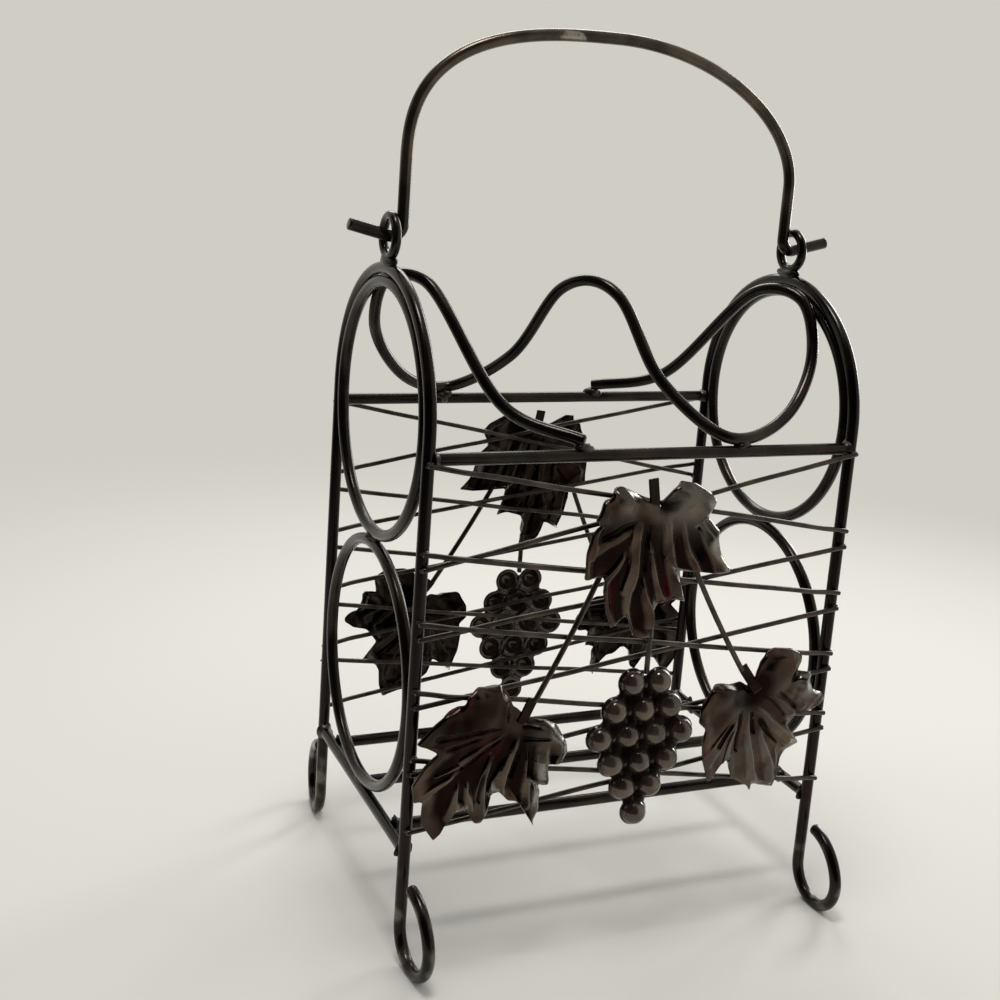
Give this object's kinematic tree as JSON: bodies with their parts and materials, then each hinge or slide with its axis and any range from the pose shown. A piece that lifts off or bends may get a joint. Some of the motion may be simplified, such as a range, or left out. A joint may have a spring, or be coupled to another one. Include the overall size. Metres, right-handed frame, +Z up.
{
  "type": "wine rack",
  "caption": "Wrought iron wine rack: arched end frames on hooked feet hold bottle rings, with a scrolled rod, crossed wire sides, vine leaf and grape ornament, and a swinging bail handle.",
  "frame": {"origin": "on the floor under the middle of the rack", "axes": "+Z up; +X along the bottles, from the left end to the right end; the pictured face looks along -Y"},
  "size_m": [0.239, 0.1846, 0.3899],
  "materials": {
    "lacquered_iron": "near-black lacquer on drawn iron rod, satin with sharp highlights",
    "ornament_iron": "brown-black lacquer on pressed sheet, satin, with wine-red tints in the folds"
  },
  "bodies": {
    "rack": {"left_end_frame": "lacquered_iron", "left_upper_bottle_ring": "lacquered_iron", "left_lower_bottle_ring": "lacquered_iron", "left_cross_bar": "lacquered_iron", "left_handle_eyelet": "lacquered_iron", "right_end_frame": "lacquered_iron", "right_upper_bottle_ring": "lacquered_iron", "right_lower_bottle_ring": "lacquered_iron", "right_cross_bar": "lacquered_iron", "right_handle_eyelet": "lacquered_iron", "front_top_rail": "lacquered_iron", "rear_top_rail": "lacquered_iron", "front_bottom_rail": "lacquered_iron", "middle_bottom_rail": "lacquered_iron", "rear_bottom_rail": "lacquered_iron", "scroll_rod": "lacquered_iron", "front_rising_wire_1": "lacquered_iron", "front_rising_wire_2": "lacquered_iron", "front_rising_wire_3": "lacquered_iron", "front_rising_wire_4": "lacquered_iron", "front_rising_wire_5": "lacquered_iron", "front_falling_wire_1": "lacquered_iron", "front_falling_wire_2": "lacquered_iron", "front_falling_wire_3": "lacquered_iron", "front_falling_wire_4": "lacquered_iron", "front_falling_wire_5": "lacquered_iron", "rear_rising_wire_1": "lacquered_iron", "rear_rising_wire_2": "lacquered_iron", "rear_rising_wire_3": "lacquered_iron", "rear_rising_wire_4": "lacquered_iron", "rear_rising_wire_5": "lacquered_iron", "rear_falling_wire_1": "lacquered_iron", "rear_falling_wire_2": "lacquered_iron", "rear_falling_wire_3": "lacquered_iron", "rear_falling_wire_4": "lacquered_iron", "rear_falling_wire_5": "lacquered_iron", "front_top_leaf": "ornament_iron", "front_left_leaf": "ornament_iron", "front_right_leaf": "ornament_iron", "front_grape_bunch": "ornament_iron", "front_left_stem": "ornament_iron", "front_right_stem": "ornament_iron", "front_middle_stem": "ornament_iron", "rear_top_leaf": "ornament_iron", "rear_left_leaf": "ornament_iron", "rear_right_leaf": "ornament_iron", "rear_grape_bunch": "ornament_iron", "rear_left_stem": "ornament_iron", "rear_right_stem": "ornament_iron", "rear_middle_stem": "ornament_iron"},
    "handle": {"bail_handle": "lacquered_iron"}
  },
  "joints": [
    {"name": "handle_swing", "type": "hinge", "parent": "rack", "child": "handle", "pos_m": [0, 0, 0.29855], "axis": [1, 0, 0], "range_deg": [-120, 120]}
  ]
}
